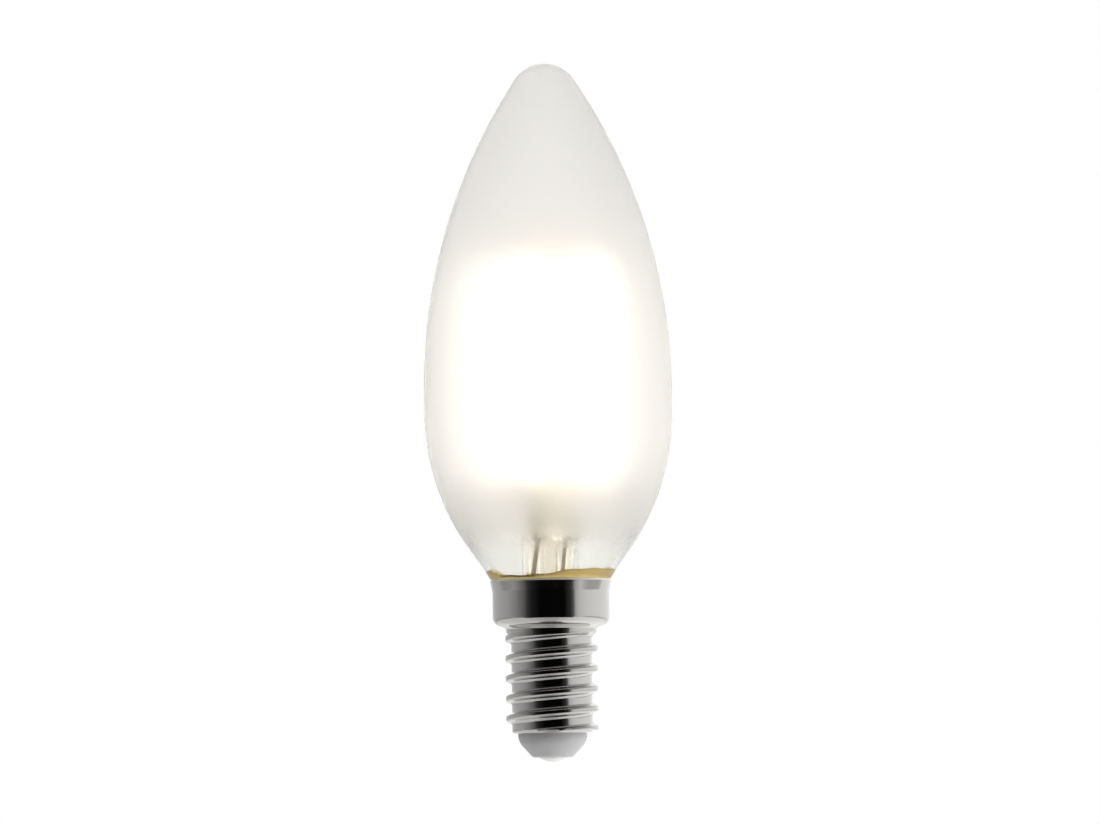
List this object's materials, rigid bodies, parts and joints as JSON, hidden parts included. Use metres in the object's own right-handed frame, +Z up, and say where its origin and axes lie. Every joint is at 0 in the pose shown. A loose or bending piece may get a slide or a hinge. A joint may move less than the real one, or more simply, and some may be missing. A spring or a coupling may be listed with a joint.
{
  "type": "candle bulb",
  "caption": "Frosted candle-shaped glass bulb with lit LED filaments on a glass stem and a nickel-plated 14 mm screw cap.",
  "frame": {"origin": "tip of the centre contact, on the bulb's axis", "axes": "+Z up the bulb's axis from the contact to the glass tip, +X to the right and -Y towards the viewer"},
  "size_m": [0.035, 0.035, 0.0985],
  "materials": {
    "frosted_glass": "satin frosted soda-lime glass, left clear in a band above the cap",
    "clear_glass": "clear stem glass",
    "nickel_plate": "bright nickel plate on pressed brass sheet",
    "white_plastic": "white moulded heat-resistant plastic",
    "tinned_contact": "tinned button",
    "amber_resin": "amber capping resin, glossy where it was squeezed out",
    "phosphor_silicone": "yellow phosphor silicone, lit warm white",
    "carrier_strip": "plated strip",
    "lead_wire": "oxidised nickel-iron wire",
    "board_laminate": "green laminate",
    "black_epoxy": "black moulding epoxy",
    "capacitor_sleeve": "shrunk sleeve",
    "tinned_wire": "tinned copper wire"
  },
  "bodies": {
    "root": {"bridge_rectifier": "black_epoxy", "bridge_wire_lower": "lead_wire", "bridge_wire_upper": "lead_wire", "cap_insulator": "white_plastic", "cap_shell": "nickel_plate", "capping_cement": "amber_resin", "centre_contact": "tinned_contact", "cross_wire_left": "lead_wire", "cross_wire_right": "lead_wire", "current_regulator": "black_epoxy", "driver_board": "board_laminate", "filament_coat_left_back": "phosphor_silicone", "filament_coat_left_front": "phosphor_silicone", "filament_coat_right_back": "phosphor_silicone", "filament_coat_right_front": "phosphor_silicone", "filament_strip_left_back": "carrier_strip", "filament_strip_left_front": "carrier_strip", "filament_strip_right_back": "carrier_strip", "filament_strip_right_front": "carrier_strip", "glass_envelope": "frosted_glass", "glass_stem": "clear_glass", "lead_wire_left": "lead_wire", "lead_wire_right": "lead_wire", "live_wire": "tinned_wire", "neutral_wire": "tinned_wire", "smoothing_capacitor": "capacitor_sleeve"}
  },
  "joints": []
}
